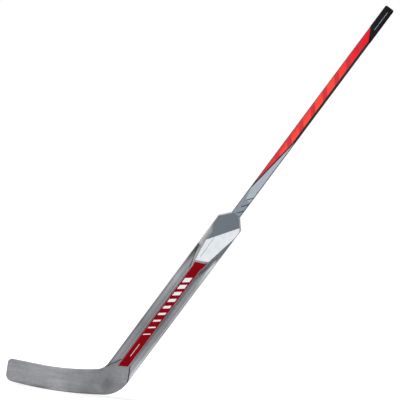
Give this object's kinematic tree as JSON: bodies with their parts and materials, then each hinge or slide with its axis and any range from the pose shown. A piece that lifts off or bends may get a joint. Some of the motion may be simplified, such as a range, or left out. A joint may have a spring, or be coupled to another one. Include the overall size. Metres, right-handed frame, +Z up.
{
  "type": "hockey goalie stick",
  "caption": "Ice hockey goalie stick: hollow rectangular shaft, wide paddle with a raised spine between hollowed wings, and a curved blade with a rounded heel.",
  "frame": {"origin": "on the shaft's centre line at the neck, where the shaft leaves the paddle and the blocker hand holds the stick", "axes": "+Z up with the sole level as the stick is held on the ice, +X from the toe towards the heel and butt, +Y from the face shown in the picture towards the other face"},
  "size_m": [1.0233, 0.0313, 1.3205],
  "materials": {
    "shaft_paint": "red, grey and black paint under a clear coat",
    "plug_moulding": "moulded, fine texture",
    "grip_sleeve": "matt grip coating",
    "silver_laminate": "silver-grey metallic paint, satin",
    "rail_laminate": "silver-grey paint over laminate, satin",
    "core_foam": "closed-cell foam",
    "filler_block": "dense moulded filler",
    "rib_laminate": "bare woven laminate",
    "red_film": "printed film, gloss",
    "white_film": "printed film, gloss"
  },
  "bodies": {
    "root": {"shaft_tube": "shaft_paint", "butt_plug": "plug_moulding", "butt_wrap": "grip_sleeve", "paddle_front_skin": "silver_laminate", "paddle_back_skin": "silver_laminate", "paddle_rail_toe_side": "rail_laminate", "paddle_rail_heel_side": "rail_laminate", "wing_core_toe_side": "core_foam", "wing_core_heel_side": "core_foam", "shoulder_block_toe_side": "filler_block", "shoulder_block_heel_side": "filler_block", "blade_front_skin": "silver_laminate", "blade_back_skin": "silver_laminate", "blade_rim": "rail_laminate", "heel_block": "filler_block", "blade_core_lower": "core_foam", "blade_rib": "rib_laminate", "blade_core_upper": "core_foam", "spine_film_front": "red_film", "spine_film_back": "red_film", "shoulder_film_front": "white_film", "shoulder_film_back": "white_film"}
  },
  "joints": []
}
